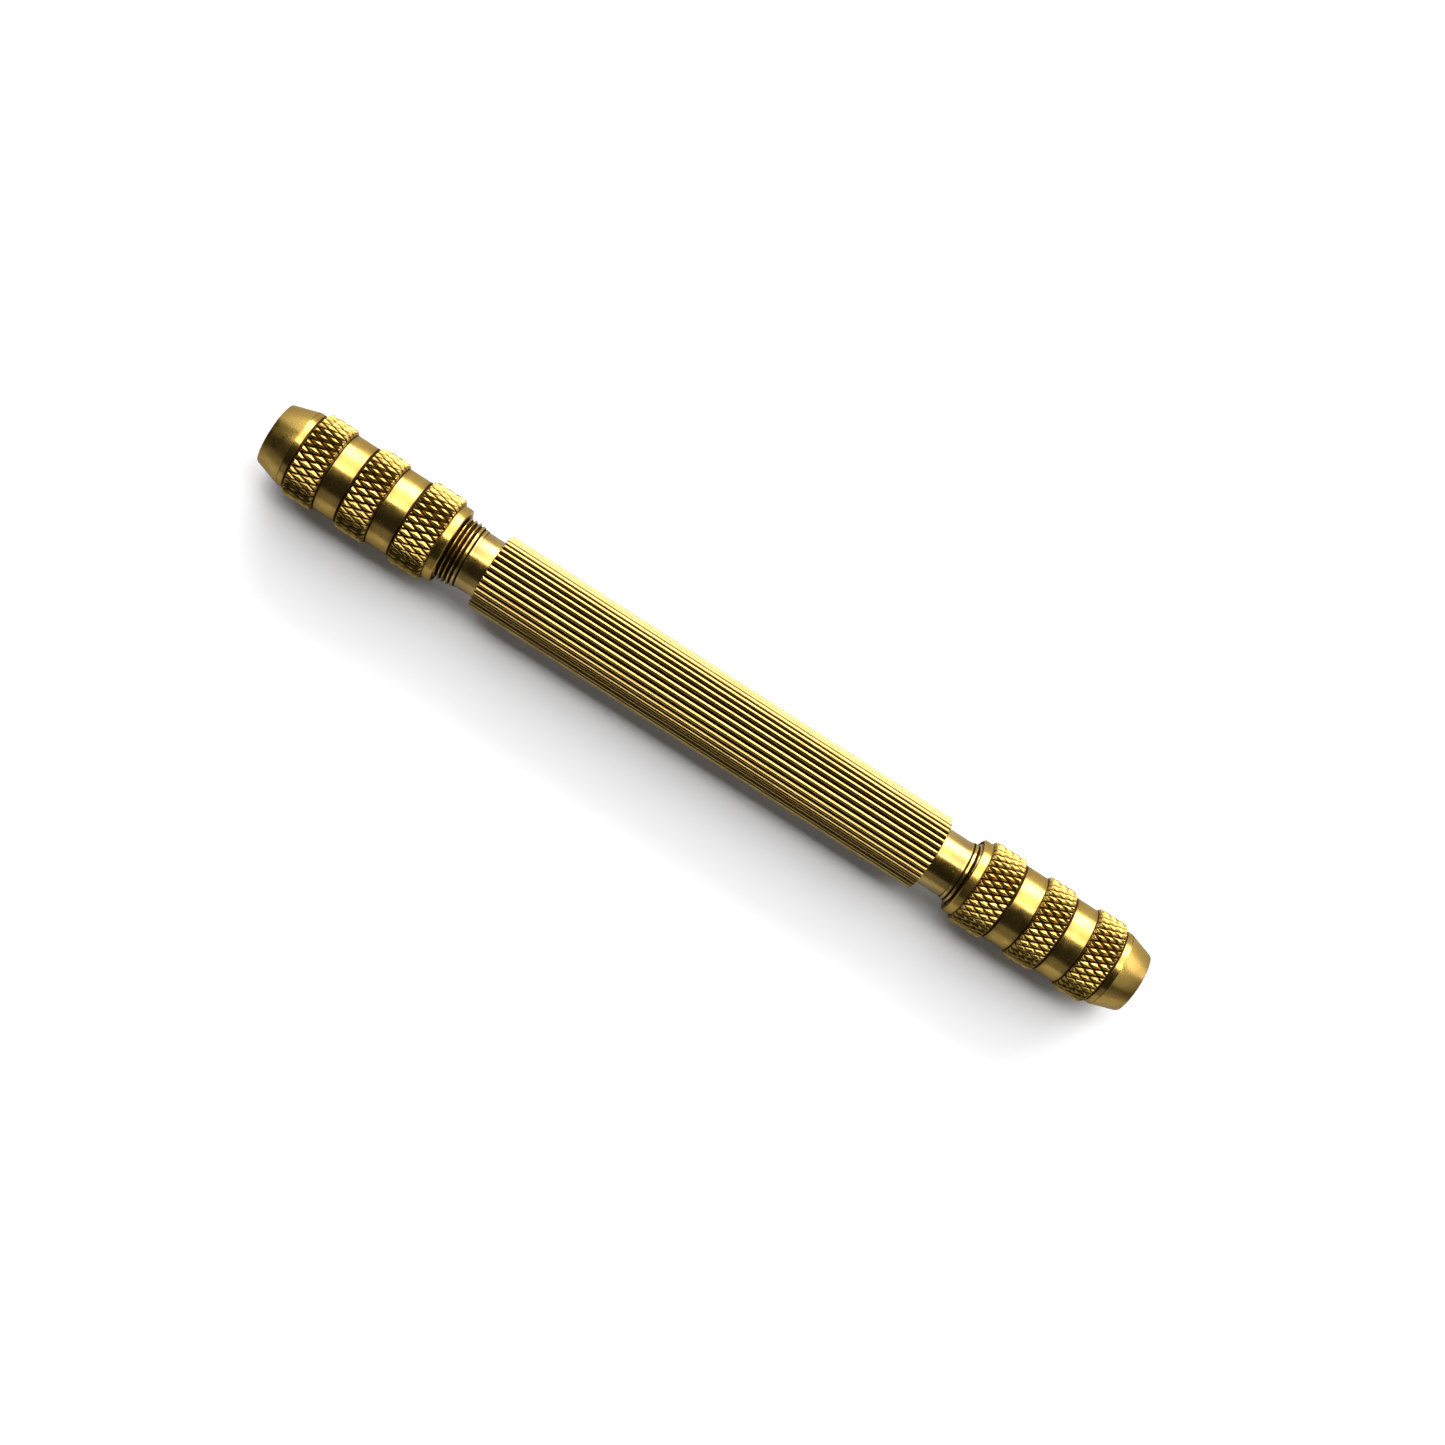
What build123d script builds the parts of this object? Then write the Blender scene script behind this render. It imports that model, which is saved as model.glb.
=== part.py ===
"""A double-ended pin vise: one fluted brass handle with a screwed chuck cap and a split collet at each end.

Millimetres. The tool's axis is X, and Z is up. The origin is the middle of the tool's length, on its axis.
Each end is drawn outward from the shoulder where the fluted grip stops, so both ends share every outline.
"""
from build123d import *
import math
import os

os.makedirs("parts", exist_ok=True)

# The whole tool
overall_length = 103.0
grip_length = 53.0
left_gap = 4.54  # from the left shoulder to the mouth of the left cap, as the caps stand at rest
tight_gap = 3.7  # the same distance when a cap is run right down on its collet

# The fluted grip
grip_radius = 4.18
grip_chamfer = 0.15
flute_count = 36
flute_width = 0.36
flute_depth = 0.24

# The spigot at each end of the handle. Its thread is 7.2 mm by 0.5 mm pitch, drawn plain at its crests
spigot_length = 10.0
spigot_chamfer = 0.3
thread_radius = 3.6
neck_radius = 3.23
neck_lengths = {"left": 2.05, "right": 2.95}

# The chuck cap's outside, from its mouth to its nose
ring_length = 1.0
inner_collar_length = 3.85
inner_waist_length = 2.8
middle_collar_length = 3.37
outer_waist_length = 2.75
outer_collar_length = 3.4
front_length = 0.85
nose_length = 2.73
ring_radius = 4.21
waist_radius = 4.31
collar_radius = 4.72
nose_radius = 3.35
collar_chamfer = 0.25
edge_break = 0.12

# The chuck cap's inside
mouth_chamfer = 0.15
nut_radius = 3.68  # the cap's thread, drawn plain at its roots
nut_length = 6.25
relief_length = 1.0
relief_radius = 3.76
cap_bore_radius = 2.7
nose_hole_radius = 2.0
nose_hole_length = 1.2

# The collet, which is the same outside at both ends, so it can be turned round
cone_angle = 12.0
cone_gap = 0.05  # square to the cone, at both seats
collet_length = 17.0
collet_recess = 0.4  # from the cap's nose back to the collet's tip
collet_tip_length = 0.8
collet_taper = 0.5  # how much smaller the tip's radius is than the body's
slot_width = 0.25
slot_length = 5.5
jaw_length = 5.0
jaw_radii = {"left": (0.4, 0.6), "right": (0.8, 1.2)}  # front and rear jaws
collet_waist_radius = 1.4

# The pocket at each end of the handle, which takes a drill's shank
guide_length = 1.4
pocket_radius = 1.5
pocket_length = 22.0
drill_point_length = 0.9

# What follows from them
sides = {"left": -1, "right": 1}
cap_length = sum((
    ring_length, inner_collar_length, inner_waist_length, middle_collar_length,
    outer_waist_length, outer_collar_length, front_length, nose_length,
))
gaps = {"left": left_gap, "right": overall_length - 2 * cap_length - grip_length - left_gap}
shoulders = {name: overall_length / 2 - cap_length - gap for name, gap in gaps.items()}
cone_slope = math.tan(math.radians(cone_angle))
cone_step = cone_gap / math.cos(math.radians(cone_angle))
collet_tip_radius = nose_hole_radius - cone_step
collet_body_radius = collet_tip_radius + collet_taper
collet_cone_length = collet_taper / cone_slope
collar_step = collar_radius - waist_radius


def across(name, out=0.0):
    """The plane square to the axis, so far out from a shoulder, that faces outward."""
    side = sides[name]
    return Plane(origin=(side * (shoulders[name] + out), 0, 0), x_dir=(0, 0, 1), z_dir=(side, 0, 0))


def along(name, out=0.0):
    """The plane of a turned outline: its X runs outward from a shoulder, and its Y is the radius."""
    side = sides[name]
    return Plane(origin=(side * (shoulders[name] + out), 0, 0), x_dir=(side, 0, 0), z_dir=(0, -side, 0))


def outline(plane, points):
    """The face inside a closed outline on a plane."""
    with BuildSketch(plane) as face:
        with BuildLine():
            Polyline(*points, close=True)
        make_face()
    return face.sketch


def collar(start, length):
    """The outline of one collar of a cap, with its two edges bevelled."""
    return [
        (start, waist_radius),
        (start + collar_chamfer, waist_radius + collar_step),
        (start + length - collar_chamfer, waist_radius + collar_step),
        (start + length, waist_radius),
    ]


def cap_outline():
    """The outside of a cap outward from its mouth, then its inside back from the nose."""
    inner_collar = ring_length
    middle_collar = inner_collar + inner_collar_length + inner_waist_length
    outer_collar = middle_collar + middle_collar_length + outer_waist_length
    front = outer_collar + outer_collar_length
    nose = front + front_length
    nose_hole = cap_length - nose_hole_length
    return [
        (0, nut_radius + mouth_chamfer),
        (0, ring_radius - edge_break),
        (edge_break, ring_radius),
        (ring_length, ring_radius),
        *collar(inner_collar, inner_collar_length),
        *collar(middle_collar, middle_collar_length),
        *collar(outer_collar, outer_collar_length),
        (front, ring_radius),
        (nose, ring_radius),
        (cap_length - edge_break, nose_radius),
        (cap_length, nose_radius - edge_break),
        (cap_length, nose_hole_radius + edge_break),
        (cap_length - edge_break, nose_hole_radius),
        (nose_hole, nose_hole_radius),
        (nose_hole - (cap_bore_radius - nose_hole_radius) / cone_slope, cap_bore_radius),
        (nut_length + relief_length, cap_bore_radius),
        (nut_length + relief_length, relief_radius),
        (nut_length, relief_radius),
        (nut_length, nut_radius),
        (mouth_chamfer, nut_radius),
    ]


def seat_outline():
    """The inside of a spigot, inward from its end: the collet's seat, a guide and the pocket."""
    tight_tip = cap_length - collet_recess - collet_length  # from the mouth of a tight cap
    seat_end = spigot_length - tight_gap - tight_tip - collet_tip_length
    pocket = seat_end + collet_tip_length + guide_length
    return [
        (0, 0),
        (0, nose_hole_radius + seat_end * cone_slope),
        (-seat_end, nose_hole_radius),
        (-pocket, nose_hole_radius),
        (-pocket, pocket_radius),
        (-pocket - pocket_length, pocket_radius),
        (-pocket - pocket_length - drill_point_length, 0),
    ]


def spigot_outline(name):
    """A spigot outward from its shoulder: its neck, its thread and the bevel that starts the cap."""
    neck = neck_lengths[name]
    return [
        (0, 0),
        (0, neck_radius),
        (neck, neck_radius),
        (neck, thread_radius),
        (spigot_length - spigot_chamfer, thread_radius),
        (spigot_length, thread_radius - spigot_chamfer),
        (spigot_length, 0),
    ]


def collet_outline(front_jaw, rear_jaw):
    """Half a collet's section, back from its front tip: both cones outside, both jaws and the waist inside."""
    cone_end = collet_tip_length + collet_cone_length
    return [
        (0, front_jaw),
        (0, collet_tip_radius),
        (-collet_tip_length, collet_tip_radius),
        (-cone_end, collet_body_radius),
        (cone_end - collet_length, collet_body_radius),
        (collet_tip_length - collet_length, collet_tip_radius),
        (-collet_length, collet_tip_radius),
        (-collet_length, rear_jaw),
        (jaw_length - collet_length, rear_jaw),
        (jaw_length - collet_length, collet_waist_radius),
        (-jaw_length, collet_waist_radius),
        (-jaw_length, front_jaw),
    ]


# The handle is one bar: a fluted grip between two spigots
with BuildPart() as handle:
    with BuildSketch(across("left", -grip_length)):
        Circle(grip_radius)
    extrude(amount=grip_length)
    chamfer(handle.edges().filter_by(GeomType.CIRCLE), length=grip_chamfer)
    with BuildSketch(across("left", -grip_length)):
        with PolarLocations(grip_radius, flute_count):
            Polygon((-flute_depth, 0), (flute_depth, -flute_width), (flute_depth, flute_width), align=None)
    extrude(amount=grip_length, mode=Mode.SUBTRACT)
    for name in sides:
        revolve(outline(along(name), spigot_outline(name)), axis=Axis.X)
        revolve(outline(along(name, spigot_length), seat_outline()), axis=Axis.X, mode=Mode.SUBTRACT)
handle.part.label = "handle"
export_step(handle.part, "parts/handle.step")

# The two caps are alike
for name in sides:
    with BuildPart() as cap:
        revolve(outline(along(name, gaps[name]), cap_outline()), axis=Axis.X)
    cap.part.label = f"{name}_cap"
    export_step(cap.part, f"parts/{name}_cap.step")

# Each collet is one hardened piece with four sprung jaws at both ends
for name in sides:
    tip = gaps[name] + cap_length - collet_recess
    with BuildPart() as collet:
        revolve(outline(along(name, tip), collet_outline(*jaw_radii[name])), axis=Axis.X)
        for end, turn in ((-slot_length / 2, 0), (slot_length / 2 - collet_length, 45)):
            with BuildSketch(across(name, tip + end)):
                Rectangle(3 * collet_body_radius, slot_width, rotation=turn)
                Rectangle(slot_width, 3 * collet_body_radius, rotation=turn)
            extrude(amount=slot_length / 2, both=True, mode=Mode.SUBTRACT)
    collet.part.label = f"{name}_collet"
    export_step(collet.part, f"parts/{name}_collet.step")
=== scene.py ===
"""The looks of a double-ended brass pin vise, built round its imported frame.

Lengths are in millimetres until a mesh is made, and MM turns them into metres. Each end of the tool is
drawn in its own outward coordinates: a station runs outward along the axis, and angles turn about it the
way a right hand curls.
"""
import math

import bmesh
import bpy
import numpy as np
from mathutils import Matrix, Vector


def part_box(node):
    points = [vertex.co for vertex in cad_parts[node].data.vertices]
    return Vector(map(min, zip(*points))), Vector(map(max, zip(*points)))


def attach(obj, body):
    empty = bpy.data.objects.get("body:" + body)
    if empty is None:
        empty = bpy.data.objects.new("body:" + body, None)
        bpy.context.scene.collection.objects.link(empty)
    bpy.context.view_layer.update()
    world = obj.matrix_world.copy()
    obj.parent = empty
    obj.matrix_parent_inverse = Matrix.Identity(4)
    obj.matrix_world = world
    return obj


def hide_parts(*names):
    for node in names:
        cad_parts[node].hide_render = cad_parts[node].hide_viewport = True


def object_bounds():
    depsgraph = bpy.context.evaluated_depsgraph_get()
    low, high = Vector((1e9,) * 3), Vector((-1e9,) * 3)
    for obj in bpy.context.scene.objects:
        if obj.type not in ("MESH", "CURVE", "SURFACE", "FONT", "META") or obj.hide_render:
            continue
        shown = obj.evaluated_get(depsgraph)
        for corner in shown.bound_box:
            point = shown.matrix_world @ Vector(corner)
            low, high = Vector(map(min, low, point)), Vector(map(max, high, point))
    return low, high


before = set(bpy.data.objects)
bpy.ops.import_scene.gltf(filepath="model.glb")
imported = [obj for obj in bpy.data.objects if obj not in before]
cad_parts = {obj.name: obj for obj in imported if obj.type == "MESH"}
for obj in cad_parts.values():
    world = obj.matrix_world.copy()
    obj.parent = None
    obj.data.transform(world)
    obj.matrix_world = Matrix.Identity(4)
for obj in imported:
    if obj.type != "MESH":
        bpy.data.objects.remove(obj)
cad_box = [list(corner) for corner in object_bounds()]

MM = 0.001
PITCH = 0.5
THREAD_ANGLE = 60.0  # of a thread's flanks, off the axis
THREAD_FLAT = 0.03  # half the width of a thread's crest
EDGE_BREAK = 0.12
SHARP_DEGREES = 34

# The grip
GRIP_RADIUS = 4.18
GRIP_CHAMFER = 0.15
FLUTES = 36
FLUTE_STEPS = 16
FLUTE_DEPTH = 0.37
FLUTE_CLEARANCE = 0.005  # keeps the ridges inside the CAD's box

# The spigots
SPIGOT_LENGTH = 10.0
NECK_RADIUS = 3.23
NECKS = {"left": 2.05, "right": 2.95}
SPIGOT_THREAD = (3.27, 3.59)  # root and crest
SPIGOT_CHAMFER = 0.3
THREAD_STEPS = 12  # rings to one turn of a thread
RUN_OUT_SLOPE = 0.27  # how fast a thread rises from the neck

# The cap, from its mouth to its nose
RING_RADIUS = 4.21
WAIST_RADIUS = 4.31
COLLAR_RADIUS = 4.715
NOSE_RADIUS = 3.35
COLLARS = ((1.0, 3.85), (7.65, 3.37), (13.77, 3.4))  # where each collar starts, and its length
NOSE_START = 18.02
CAP_LENGTH = 20.75
NUT_THREAD = (3.4, 3.67)  # crest and root
NUT_LIP = 0.15
NUT_LENGTH = 6.25
RELIEF_LENGTH = 1.0
RELIEF_RADIUS = 3.76
CAP_BORE_RADIUS = 2.7
NOSE_HOLE_RADIUS = 2.0
NOSE_HOLE_LENGTH = 1.2
CONE_SLOPE = math.tan(math.radians(12.0))

# The diamond knurl on the collars
KNURLS = 35
KNURL_STEPS = 16
KNURL_LENGTHS = {"left": 2.1, "right": 1.75}  # one diamond along the axis
KNURL_LEANS = {"left": -1, "right": 1}  # which of the two sets of grooves is cut deeper
KNURL_LIFTS = {"left": 0.012, "right": 0.03}  # how much shallower the other set is
KNURL_ROUND = 1.7  # 1 gives flat-sided diamonds, and more gives rounder ones
KNURL_DEPTH = 0.32
COLLAR_BEVEL = 0.25

# The seat and the pocket in each spigot
SEAT_LENGTH = 2.15
GUIDE_LENGTH = 2.2
POCKET_RADIUS = 1.5
POCKET_LENGTH = 22.0
DRILL_POINT_LENGTH = 0.9

SIDES = {"left": -1, "right": 1}
HANDLE_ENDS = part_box("handle")
SHOULDERS = {
    "left": -HANDLE_ENDS[0][0] / MM - SPIGOT_LENGTH,
    "right": HANDLE_ENDS[1][0] / MM - SPIGOT_LENGTH,
}
MOUTHS = {
    "left": -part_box("left_cap")[1][0] / MM,
    "right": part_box("right_cap")[0][0] / MM,
}


def angles(count):
    """The angle of each point of a ring."""
    return np.arange(count) * (2 * math.pi / count)


class Skin:
    """A closed surface of rings about the X axis, with how deep in a groove and how matte each point is."""

    def __init__(self):
        self.points = []
        self.grooves = []
        self.mattes = []
        self.matte = 0.0
        self.faces = []
        self.size = 0

    def ring(self, station, radii, grooves):
        """Adds a ring and returns the numbers of its points."""
        turn = angles(len(radii))
        along = np.full(len(radii), station)
        self.points.append(np.column_stack((along, radii * np.cos(turn), radii * np.sin(turn))))
        self.grooves.append(grooves)
        self.mattes.append(np.full(len(radii), self.matte))
        self.size += len(radii)
        return np.arange(self.size - len(radii), self.size)

    def pole(self, station, ring):
        """Closes a ring with a fan that meets at a point on the axis."""
        self.points.append(np.array([[station, 0.0, 0.0]]))
        self.grooves.append(np.array([0.5]))
        self.mattes.append(np.array([0.0]))
        tip = np.full(len(ring), self.size)
        self.size += 1
        self.faces.append(np.column_stack((ring, np.roll(ring, -1), tip)))

    def join(self, ring, other):
        """Joins two rings. Each point of the smaller takes an equal share of the larger."""
        if len(ring) < len(other):
            ring, other = other, ring
        share = len(ring) // len(other)
        arc = [np.roll(ring, -step)[::share] for step in range(share + 1)]
        self.faces.append(np.column_stack((*arc, np.roll(other, -1), other)))

    def crease(self, ring, radii, other, other_radii):
        """Joins two equal rings with triangles, each pair split along the line that climbs least."""
        a, b, c, d = ring, np.roll(ring, -1), np.roll(other, -1), other
        one_way = abs(radii - np.roll(other_radii, -1))
        other_way = abs(np.roll(radii, -1) - other_radii)
        level = (one_way < other_way)[:, None]
        self.faces.append(np.where(level, np.column_stack((a, b, c)), np.column_stack((a, b, d))))
        self.faces.append(np.where(level, np.column_stack((a, c, d)), np.column_stack((b, c, d))))

    def turned(self, outline, count, before=None, grooves=None):
        """Adds plain rings along an outline of stations and radii, and returns the last."""
        grooves = grooves or [0.0] * len(outline)
        for (station, radius), groove in zip(outline, grooves):
            ring = self.ring(station, np.full(count, radius), np.full(count, groove))
            if before is not None:
                self.join(before, ring)
            before = ring
        return before

    def shaped(self, stations, shape, count, before):
        """Adds rings whose radii vary with the angle, on from the ring before, and returns the last."""
        last_radii = None
        for station in stations:
            radii, grooves = shape(station, angles(count))
            ring = self.ring(station, radii, grooves)
            if last_radii is None:
                self.join(before, ring)
            else:
                self.crease(before, last_radii, ring, radii)
            before, last_radii = ring, radii
        return before

    def mesh(self, name, placement):
        """The surface as a mesh in metres, its normals outward and its corners sharp."""
        made = bpy.data.meshes.new(name)
        faces = [tuple(face) for block in self.faces for face in block.tolist()]
        made.from_pydata(np.vstack(self.points) * MM, [], faces)
        for key, values in (("groove", self.grooves), ("matte", self.mattes)):
            layer = made.attributes.new(key, "FLOAT", "POINT")
            layer.data.foreach_set("value", np.concatenate(values).astype(np.float32))
        made.transform(placement)
        made.validate()
        face_outward(made)
        made.shade_smooth()
        made.set_sharp_from_angle(angle=math.radians(SHARP_DEGREES))
        return made


def face_outward(mesh):
    """Turns every face of a closed mesh to look outward."""
    work = bmesh.new()
    work.from_mesh(mesh)
    bmesh.ops.recalc_face_normals(work, faces=work.faces)
    work.to_mesh(mesh)
    work.free()


def softened(outline, size):
    """An outline with a small round at each corner between its ends."""
    soft = [outline[0]]
    for last, corner, following in zip(outline, outline[1:], outline[2:]):
        here = Vector(corner)
        back, on = Vector(last) - here, Vector(following) - here
        first = here + back.normalized() * min(size, back.length * 0.45)
        second = here + on.normalized() * min(size, on.length * 0.45)
        soft += [tuple(first), tuple((first + here * 2 + second) / 4), tuple(second)]
    return [*soft, outline[-1]]


def steps(start, end, spacing):
    """Stations from start to end, spaced evenly from the start, with the end itself last."""
    return [*np.arange(start, end - spacing * 0.2, spacing), end]


def helix(station, turn, low, high):
    """The radii of a V thread whose ridge passes angle 0 at station 0, and how deep in its groove each lies."""
    phase = station / PITCH - turn / (2 * math.pi)
    from_ridge = abs(phase - np.round(phase)) * PITCH
    slope = math.tan(math.radians(THREAD_ANGLE))
    radii = np.clip(high - (from_ridge - THREAD_FLAT) * slope, low, high)
    # The depth darkens the roots of the thread: partly grime, partly painted shade.
    return radii, np.clip((high - radii) / (high - low) * 1.1 - 0.1, 0, 1)


def knurl(station, turn, name):
    """The height of a diamond knurl over the bottoms of its grooves, station being along the collar."""
    around = KNURLS * turn / (2 * math.pi)
    length = KNURL_LENGTHS[name]
    heights = []
    for hand in (-1, 1):
        phase = around + hand * station / length
        from_crest = 1 - abs(phase - np.round(phase)) * 2
        lift = 0.0 if hand == KNURL_LEANS[name] else KNURL_LIFTS[name]
        heights.append(KNURL_DEPTH * (1 - from_crest ** KNURL_ROUND) + lift)
    return np.minimum(np.minimum(*heights), KNURL_DEPTH)


def flute(turn):
    """The radii of the fluted grip, round ridges with sharp grooves between them, and how deep each lies."""
    from_crest = abs((turn * FLUTES / (2 * math.pi)) % 1 - 0.5) * 2
    radii = GRIP_RADIUS - FLUTE_CLEARANCE - FLUTE_DEPTH * from_crest ** 2
    # The depth sends the bottoms of the flutes nearly black: partly grime, partly painted shade.
    return radii, np.clip(from_crest * 1.3 - 0.28, 0, 1)


def placed(name, station):
    """Turns outward coordinates with their zero at a station of one end into the tool's own."""
    turn = Matrix.Rotation(0.0 if SIDES[name] > 0 else math.pi, 4, "Z")
    return turn @ Matrix.Translation((station * MM, 0, 0))


def piece(name, mesh, body, node, material):
    """Shows a mesh in place of a CAD node, riding on its body."""
    shown = bpy.data.objects.new(name, mesh)
    bpy.context.collection.objects.link(shown)
    mesh.materials.append(material)
    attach(shown, body)
    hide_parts(node)


def cap_mesh(name):
    """One chuck cap: three knurled collars, a front band and a cone outside, its thread and cone inside."""
    skin = Skin()
    outer = KNURLS * KNURL_STEPS
    inner = outer // 5
    length = KNURL_LENGTHS[name]

    def collar(start, extent):
        def shape(station, turn):
            height = knurl(station - start, turn, name)
            edge = min(station - start, start + extent - station)
            limit = WAIST_RADIUS + (COLLAR_RADIUS - WAIST_RADIUS) * edge / COLLAR_BEVEL
            valley = COLLAR_RADIUS - KNURL_DEPTH
            radii = np.minimum(valley + height, limit)
            # The depth darkens the bottoms of the knurl's grooves: partly grime, partly painted shade.
            return radii, np.clip(1 - height / KNURL_DEPTH * 1.3, 0, 1)
        return shape

    lip = [
        (0, RING_RADIUS - EDGE_BREAK),
        (0.06, RING_RADIUS - 0.04),
        (0.14, RING_RADIUS),
        (0.8, RING_RADIUS),
        (1.0, RING_RADIUS),
    ]
    first = skin.turned(lip[:1], outer)
    # The last lip point, where the first collar rises, is marked deep in a groove so that its corner gets
    # painted shade.
    ring = skin.turned(lip[1:], outer, first, [0, 0, 0, 0.7])
    for (start, extent), following in zip(COLLARS, [*COLLARS[1:], None]):
        stations = steps(start, start + extent, length / KNURL_STEPS)
        ring = skin.shaped(stations, collar(start, extent), outer, ring)
        end = start + extent
        radius = WAIST_RADIUS if following else RING_RADIUS
        stop = following[0] if following else NOSE_START
        # Each corner between a collar and the waist or front band is marked deep in a groove, so it gets a thin
        # line of painted shade.
        into = [(0.0, 1.0), (0.1, 0.9), (0.26, 0.33), (0.85, 0.0)]
        away = into[::-1] if following else [(0.1, 0.0), (0.02, 0.0)]
        ring = skin.turned(
            [*[(end + gap, radius) for gap, _ in into], *[(stop - max(gap, 0.02), radius) for gap, _ in away]],
            outer, ring, [groove for _, groove in into + away],
        )
    nose = softened([
        (NOSE_START - 0.01, RING_RADIUS),
        (NOSE_START, RING_RADIUS),
        (CAP_LENGTH, NOSE_RADIUS),
        (CAP_LENGTH, NOSE_HOLE_RADIUS),
        (CAP_LENGTH - NOSE_HOLE_LENGTH, NOSE_HOLE_RADIUS),
    ], EDGE_BREAK)
    # The rim and end face of the nose and the mouth of its hole are marked deep in a groove, so they get
    # painted shade.
    skin.matte = 1.0
    ring = skin.turned(nose[1:-1], outer, ring, [0.0, 0.0, 0.0, 0.3, 0.8, 0.9, 0.6, 0.4, 0.4])
    skin.matte = 0.0
    hole_end = CAP_LENGTH - NOSE_HOLE_LENGTH
    cone_end = hole_end - (CAP_BORE_RADIUS - NOSE_HOLE_RADIUS) / CONE_SLOPE
    relief_end = NUT_LENGTH + RELIEF_LENGTH
    # The bore and thread inside the cap are marked deep in a groove, so they get painted shade.
    ring = skin.turned([
        (hole_end, NOSE_HOLE_RADIUS),
        (cone_end, CAP_BORE_RADIUS),
        (relief_end, CAP_BORE_RADIUS),
        (relief_end, RELIEF_RADIUS),
        (NUT_LENGTH, RELIEF_RADIUS),
    ], inner, ring, [0.3, 0.5, 0.8, 0.9, 0.9])
    gap = MOUTHS[name] - SHOULDERS[name]

    def nut(station, turn):
        radii, depth = helix(station + gap - NECKS[name], turn, *NUT_THREAD)
        return np.maximum(radii, NUT_THREAD[1] + NUT_LIP - station), 1 - depth

    ring = skin.shaped(steps(0, NUT_LENGTH, PITCH / THREAD_STEPS)[::-1], nut, inner, ring)
    skin.join(ring, first)
    return skin.mesh(f"{name}_cap_turned", placed(name, MOUTHS[name]))


def handle_mesh():
    """The handle: pockets and seats inside, threads, necks and the fluted grip outside."""
    skin = Skin()
    outer = FLUTES * FLUTE_STEPS
    inner = outer // 4

    def bore(name):
        """One end's pocket, guide and seat, as stations in the tool's own coordinates."""
        side, end = SIDES[name], SHOULDERS[name] + SPIGOT_LENGTH
        seat = end - SEAT_LENGTH
        guide = seat - GUIDE_LENGTH
        outline = [
            (guide - POCKET_LENGTH, POCKET_RADIUS),
            (guide, POCKET_RADIUS),
            (guide, NOSE_HOLE_RADIUS),
            (seat, NOSE_HOLE_RADIUS),
            (end, NOSE_HOLE_RADIUS + SEAT_LENGTH * CONE_SLOPE),
        ]
        return [(side * station, radius) for station, radius in outline]

    def thread(name):
        """One end's thread. On the left the angle runs the other way, because the whole end is turned round."""
        start = SHOULDERS[name] + NECKS[name]
        end = SHOULDERS[name] + SPIGOT_LENGTH

        def shape(station, turn):
            outward = SIDES[name] * station
            seen = turn if SIDES[name] > 0 else math.pi - turn
            radii, depth = helix(outward - start, seen, *SPIGOT_THREAD)
            run_out = NECK_RADIUS + 0.02 + (outward - start) * RUN_OUT_SLOPE
            bevel = SPIGOT_THREAD[1] - SPIGOT_CHAMFER + end - outward
            return np.minimum(radii, min(run_out, bevel)), depth
        return shape

    def grip(station, turn):
        radii, depth = flute(turn)
        edge = min(station + SHOULDERS["left"], SHOULDERS["right"] - station)
        return np.minimum(radii, GRIP_RADIUS - GRIP_CHAMFER + edge), depth

    left, right = SHOULDERS["left"], SHOULDERS["right"]
    left_bore = bore("left")
    # The pocket and seat inside this end are marked deep in a groove, so they get painted shade; only the
    # seat's mouth stays light.
    ring = skin.turned(left_bore, inner, None, [0.8] * 4 + [0.2])
    skin.pole(left_bore[0][0] + DRILL_POINT_LENGTH, np.arange(inner))
    spacing = PITCH / THREAD_STEPS
    ends = {
        name: steps(SHOULDERS[name] + NECKS[name], SHOULDERS[name] + SPIGOT_LENGTH, spacing)
        for name in SIDES
    }
    ring = skin.shaped([-station for station in reversed(ends["left"])], thread("left"), outer, ring)
    # The corners at each end of the neck, by the thread and by the grip's shoulder, get painted shade.
    ring = skin.turned([
        (-left - NECKS["left"], NECK_RADIUS), (-left - 0.25, NECK_RADIUS), (-left - 0.02, NECK_RADIUS),
    ], outer, ring, [0.5, 0.0, 0.7])
    inset = [0.0, 0.08, GRIP_CHAMFER, 0.5]
    middle = np.linspace(0.5, left + right - 0.5, 12)[1:-1]
    lengths = [*inset, *middle, *[left + right - step for step in reversed(inset)]]
    ring = skin.shaped([length - left for length in lengths], grip, outer, ring)
    # The corners at each end of the neck, by the grip's shoulder and by the thread, get painted shade.
    ring = skin.turned([
        (right + 0.02, NECK_RADIUS), (right + 0.25, NECK_RADIUS), (right + NECKS["right"], NECK_RADIUS),
    ], outer, ring, [0.7, 0.0, 0.5])
    ring = skin.shaped(ends["right"], thread("right"), outer, ring)
    right_bore = bore("right")
    # The pocket and seat inside this end are marked deep in a groove, so they get painted shade; only the
    # seat's mouth stays light.
    ring = skin.turned(right_bore[::-1], inner, ring, [0.2] + [0.8] * 4)
    skin.pole(right_bore[0][0] - DRILL_POINT_LENGTH, ring)
    return skin.mesh("handle_turned", Matrix.Identity(4))


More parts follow.
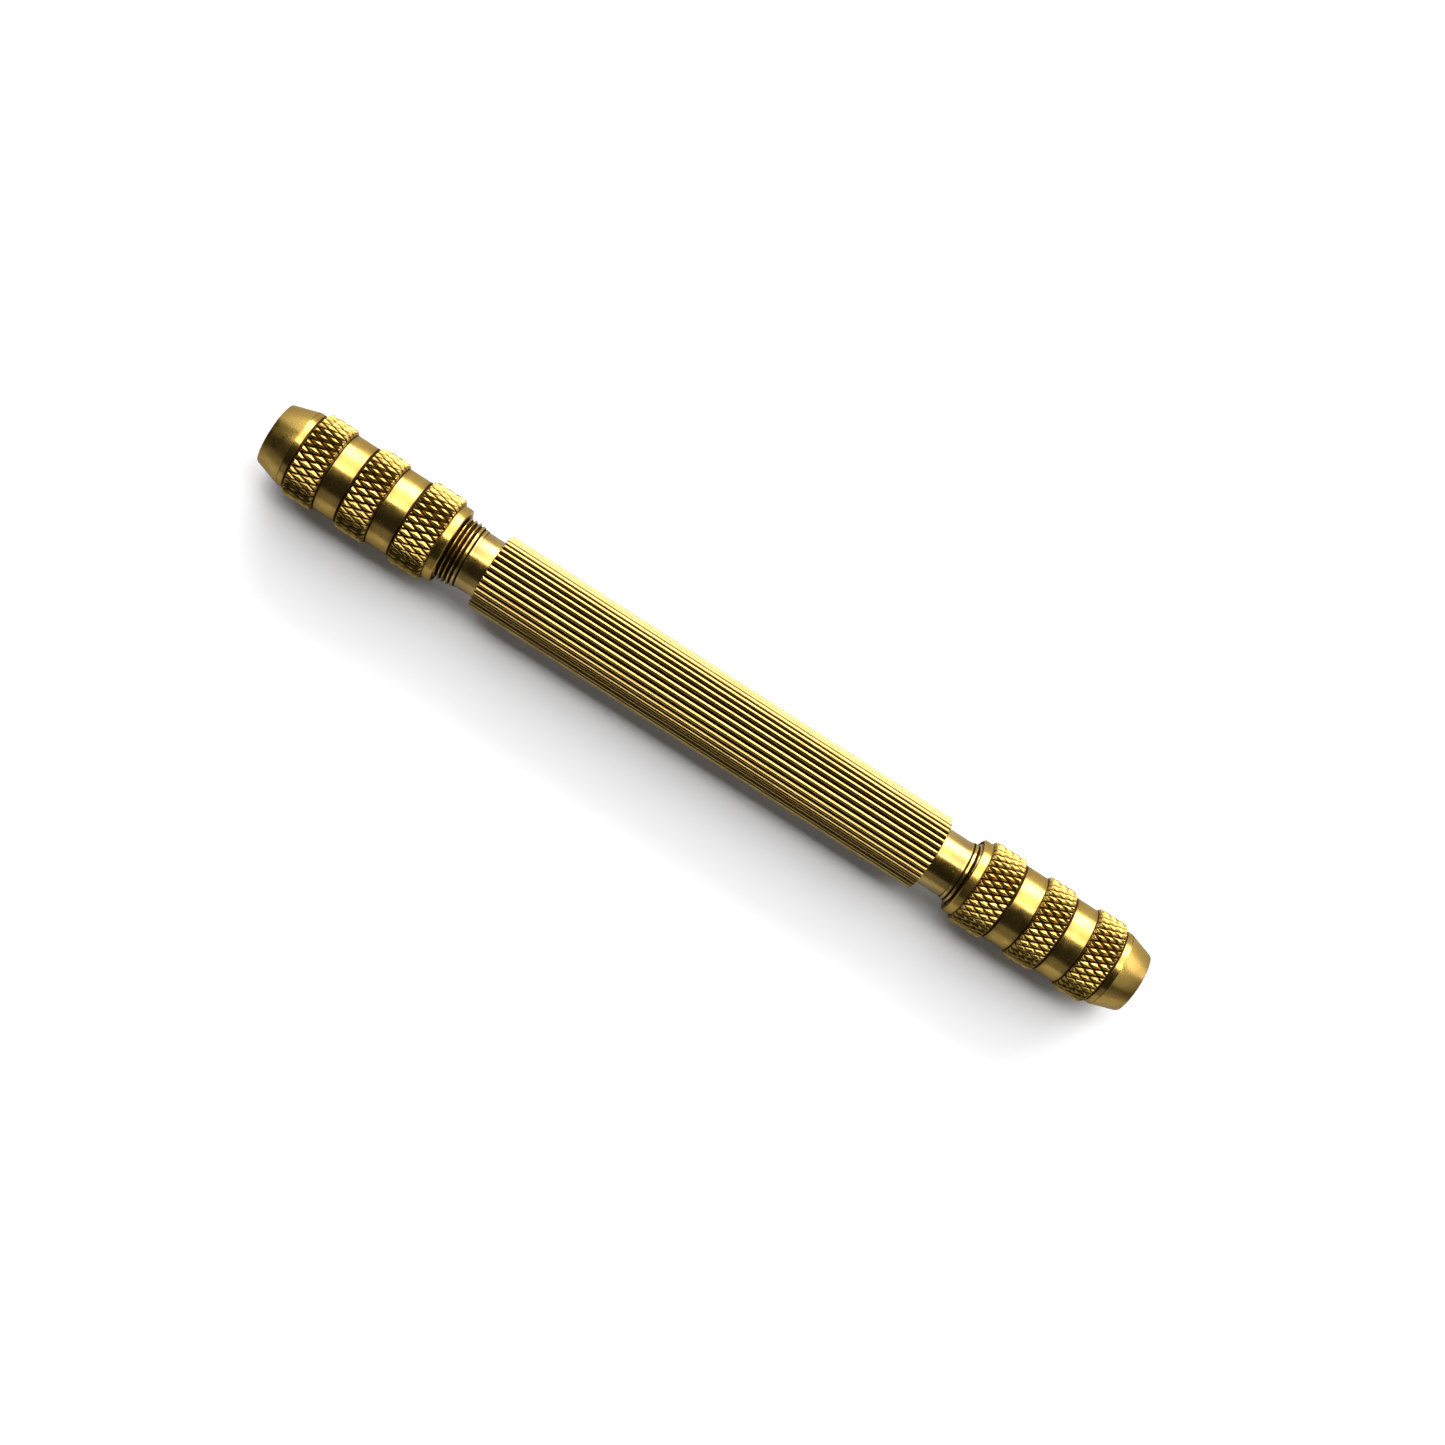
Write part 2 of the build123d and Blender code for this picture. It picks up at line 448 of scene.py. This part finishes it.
class Nodes:
    """A material's node tree, with short ways to add and link its nodes."""

    def __init__(self, name):
        self.material = bpy.data.materials.new(name)
        self.material.use_nodes = True
        self.tree = self.material.node_tree
        self.shader = next(node for node in self.tree.nodes if node.type == "BSDF_PRINCIPLED")

    def add(self, kind, settings=None, **inputs):
        """Adds a node. Inputs are given by name: a number or a colour is set, and an output is linked."""
        node = self.tree.nodes.new(kind)
        for key, value in (settings or {}).items():
            setattr(node, key, value)
        for key, value in inputs.items():
            self.put(node.inputs[key.replace("_", " ")], value)
        return node

    def put(self, socket, value):
        if isinstance(value, bpy.types.NodeSocket):
            self.tree.links.new(value, socket)
        else:
            socket.default_value = value

    def noise(self, vector, scale, detail=3.0, roughness=0.5):
        node = self.add("ShaderNodeTexNoise", Vector=vector, Scale=scale, Detail=detail, Roughness=roughness)
        return node.outputs["Fac"]

    def stretched(self, vector, scale):
        """The same place with each axis scaled, so that a pattern runs along the axis scaled least."""
        return self.add("ShaderNodeMapping", Vector=vector, Scale=scale).outputs["Vector"]

    def ramp(self, value, low, high, to_low=0.0, to_high=1.0):
        node = self.add("ShaderNodeMapRange", {"interpolation_type": "SMOOTHSTEP"}, Value=value)
        for key, number in (("From Min", low), ("From Max", high), ("To Min", to_low), ("To Max", to_high)):
            node.inputs[key].default_value = number
        return node.outputs["Result"]

    def math(self, operation, *values):
        node = self.add("ShaderNodeMath", {"operation": operation})
        for socket, value in zip(node.inputs, values):
            self.put(socket, value)
        return node.outputs["Value"]

    def mix(self, factor, one, two):
        node = self.add("ShaderNodeMix", {"data_type": "RGBA"})
        self.put(node.inputs["Factor"], factor)
        for socket, value in zip([s for s in node.inputs if s.type == "RGBA"], (one, two)):
            self.put(socket, value)
        return next(s for s in node.outputs if s.type == "RGBA")

    def bump(self, height, distance, strength, normal=None):
        node = self.add("ShaderNodeBump", Height=height, Distance=distance, Strength=strength)
        if normal is not None:
            self.put(node.inputs["Normal"], normal)
        return node.outputs["Normal"]


def brass_material(name, marks, base_roughness, coat):
    """Old brass: turned or drawn marks, brown patina, pits, and grime with painted shade where the surface lies
    in a groove, a corner or a bore.
    """
    nodes = Nodes(name)
    place = nodes.add("ShaderNodeTexCoord").outputs["Object"]
    groove = nodes.add("ShaderNodeAttribute", {"attribute_name": "groove"}).outputs["Fac"]
    blotches = nodes.noise(place, 260.0, 4.0, 0.6)
    cloud = nodes.noise(place, 900.0, 3.0, 0.6)
    pits = nodes.noise(place, 4200.0, 2.0, 0.5)
    patina = nodes.ramp(blotches, 0.48, 0.74)
    colour = nodes.mix(nodes.ramp(cloud, 0.3, 0.75), (0.55, 0.368, 0.085, 1), (0.47, 0.297, 0.06, 1))
    colour = nodes.mix(nodes.math("MULTIPLY", patina, 0.45), colour, (0.26, 0.14, 0.024, 1))
    tarnish = nodes.math("MULTIPLY", nodes.ramp(groove, 0.0, 0.4), 0.45)
    colour = nodes.mix(tarnish, colour, (0.26, 0.16, 0.035, 1))
    # Grime and painted shade: where the groove attribute is deep, the colour goes nearly black. This is partly
    # dirt and partly shade painted into grooves, corners and bores.
    grime_and_shade = nodes.math("MULTIPLY", nodes.ramp(groove, 0.4, 0.75), nodes.ramp(cloud, 0.1, 0.55, 0.85, 1.0))
    colour = nodes.mix(grime_and_shade, colour, (0.02, 0.01, 0.004, 1))
    spots = nodes.add("ShaderNodeTexVoronoi", Vector=place, Scale=420.0).outputs["Distance"]
    speck = nodes.math("MAXIMUM", nodes.ramp(pits, 0.68, 0.76), nodes.ramp(spots, 0.05, 0.03))
    colour = nodes.mix(nodes.math("MULTIPLY", speck, 0.6), colour, (0.20, 0.10, 0.03, 1))
    nodes.put(nodes.shader.inputs["Base Color"], colour)
    nodes.shader.inputs["Metallic"].default_value = 1.0
    nodes.shader.inputs["Specular Tint"].default_value = (0.62, 0.55, 0.4, 1)
    nodes.put(nodes.shader.inputs["Coat Weight"], nodes.ramp(grime_and_shade, 0.0, 0.6, coat, 0.0))
    nodes.shader.inputs["Coat Roughness"].default_value = 0.12
    rough = nodes.math("ADD", nodes.ramp(cloud, 0.2, 0.8, base_roughness, base_roughness + 0.1),
                       nodes.math("MULTIPLY", nodes.math("MAXIMUM", grime_and_shade, speck), 0.35))
    matte = nodes.add("ShaderNodeAttribute", {"attribute_name": "matte"}).outputs["Fac"]
    rough = nodes.math("ADD", rough, nodes.math("MULTIPLY", matte, 0.05))
    nodes.put(nodes.shader.inputs["Roughness"], nodes.math("ADD", rough, nodes.math("MULTIPLY", patina, 0.12)))
    lines = nodes.noise(nodes.stretched(place, marks), 1.0, 2.0, 0.6)
    normal = nodes.bump(lines, 0.00001, 0.35)
    normal = nodes.bump(pits, 0.00002, 0.25, normal)
    nodes.put(nodes.shader.inputs["Normal"], normal)
    return nodes.material


def steel_material():
    """The collets' hardened steel, blued a little and ground along its length."""
    nodes = Nodes("collet_steel")
    place = nodes.add("ShaderNodeTexCoord").outputs["Object"]
    cloud = nodes.noise(place, 700.0, 3.0)
    nodes.put(nodes.shader.inputs["Base Color"],
              nodes.mix(nodes.ramp(cloud, 0.3, 0.7), (0.34, 0.34, 0.36, 1), (0.22, 0.22, 0.24, 1)))
    nodes.shader.inputs["Metallic"].default_value = 1.0
    nodes.put(nodes.shader.inputs["Roughness"], nodes.ramp(cloud, 0.2, 0.8, 0.25, 0.42))
    lines = nodes.noise(nodes.stretched(place, (9000.0, 300.0, 300.0)), 1.0, 2.0)
    nodes.put(nodes.shader.inputs["Normal"], nodes.bump(lines, 0.00001, 0.3))
    return nodes.material


def paper_material():
    """White paper, which the camera sees bright and the tool sees as grey, as in an overexposed picture."""
    nodes = Nodes("paper")
    place = nodes.add("ShaderNodeTexCoord").outputs["Object"]
    fibres = nodes.noise(place, 900.0, 4.0)
    nodes.put(nodes.shader.inputs["Base Color"],
              nodes.mix(fibres, (0.94, 0.94, 0.94, 1), (0.97, 0.97, 0.97, 1)))
    nodes.shader.inputs["Roughness"].default_value = 0.9
    nodes.shader.inputs["Specular IOR Level"].default_value = 0.1
    grey = nodes.add("ShaderNodeBsdfDiffuse", Color=(0.48, 0.48, 0.48, 1)).outputs["BSDF"]
    seen = nodes.add("ShaderNodeLightPath").outputs["Is Camera Ray"]
    mix = nodes.add("ShaderNodeMixShader", Fac=seen)
    nodes.put(mix.inputs[1], grey)
    nodes.put(mix.inputs[2], nodes.shader.outputs["BSDF"])
    nodes.put(next(node for node in nodes.tree.nodes if node.type == "OUTPUT_MATERIAL").inputs["Surface"],
              mix.outputs["Shader"])
    return nodes.material


def build_tool():
    turned = brass_material("brass_turned", (9000.0, 250.0, 250.0), 0.17, 0.3)
    drawn = brass_material("brass_drawn", (250.0, 7000.0, 7000.0), 0.16, 0.8)
    piece("handle_fluted", handle_mesh(), "handle", "handle", drawn)
    for name in SIDES:
        piece(f"{name}_cap_knurled", cap_mesh(name), f"{name}_cap", f"{name}_cap", turned)
    steel = steel_material()
    for name in SIDES:
        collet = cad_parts[f"{name}_collet"]
        collet.data.materials.clear()
        collet.data.materials.append(steel)


def build_floor():
    """A wide sheet of white paper at the height of the tool's lowest point."""
    mesh = bpy.data.meshes.new("paper_sheet")
    half, low = 2.0, cad_box[0][2]
    corners = [(-half, -half, low), (half, -half, low), (half, half, low), (-half, half, low)]
    mesh.from_pydata(corners, [], [(0, 1, 2, 3)])
    mesh.materials.append(paper_material())
    floor = bpy.data.objects.new("paper_sheet", mesh)
    bpy.context.collection.objects.link(floor)


def panel(name, start, end, turn, spread, radiance, colour=(1, 1, 1)):
    """A soft light that fills part of the sky, with the tool at the middle of that sky.

    It reaches from start to end, in degrees off straight up, at a turn about Z from +X. Its spread is its
    width in degrees.
    """
    distance = 0.6
    middle, half = math.radians((start + end) / 2), math.radians((end - start) / 2)
    data = bpy.data.lights.new(name, "AREA")
    data.shape = "RECTANGLE"
    data.size = 2 * distance * math.tan(math.radians(spread) / 2)
    data.size_y = 2 * distance * math.tan(half)
    data.energy = radiance * data.size * data.size_y * math.pi
    data.color = colour
    light = bpy.data.objects.new(name, data)
    bpy.context.collection.objects.link(light)
    turned = Matrix.Rotation(math.radians(turn - 90), 4, "Z") @ Matrix.Rotation(-middle, 4, "X")
    light.matrix_world = turned @ Matrix.Translation((0, 0, distance))


def build_light():
    """A bright window low on the far side, paler sky over it, a dim lamp to the right and a weak fill."""
    panel("window", 54, 88, 90, 66, 8.5)
    panel("pale_sky", 24, 54, 90, 84, 2.7)
    panel("high_sky", 11, 24, 90, 90, 5.0)
    panel("far_left", 62, 90, 133, 30, 1.1)
    panel("far_right", 60, 88, 38, 36, 2.2)
    panel("near_wall", 60, 90, -90, 110, 0.22)
    panel("ceiling", 34, 68, 0, 50, 0.5)
    world = bpy.data.worlds.new("room")
    world.use_nodes = True
    background = world.node_tree.nodes["Background"]
    background.inputs["Color"].default_value = (1, 1, 1, 1)
    background.inputs["Strength"].default_value = 0.025
    bpy.context.scene.world = world
    bpy.context.scene.view_settings.view_transform = "Standard"


def build_camera():
    """The camera looks almost straight down, rolled so that the tool lies from upper left to lower right."""
    foot = -6.5 * MM
    height = 225.0 * MM
    tilt = math.radians(3.3)
    roll = math.radians(32.68)
    data = bpy.data.cameras.new("camera")
    data.sensor_width = 36.0
    data.lens = 55.35
    data.shift_x = -0.0283
    data.shift_y = 0.0163
    data.clip_start = 0.01
    forward = Vector((math.sin(tilt), 0, -math.cos(tilt)))
    level = Vector((math.cos(tilt), 0, math.sin(tilt)))
    across = Vector((0, 1, 0))
    right = level * math.cos(roll) + across * math.sin(roll)
    up = across * math.cos(roll) - level * math.sin(roll)
    camera = bpy.data.objects.new("camera", data)
    facing = Matrix((right, up, -forward)).transposed().to_4x4()
    camera.matrix_world = Matrix.Translation((foot, 0, height)) @ facing
    bpy.context.collection.objects.link(camera)
    bpy.context.scene.camera = camera


build_tool()
build_floor()
build_light()
build_camera()
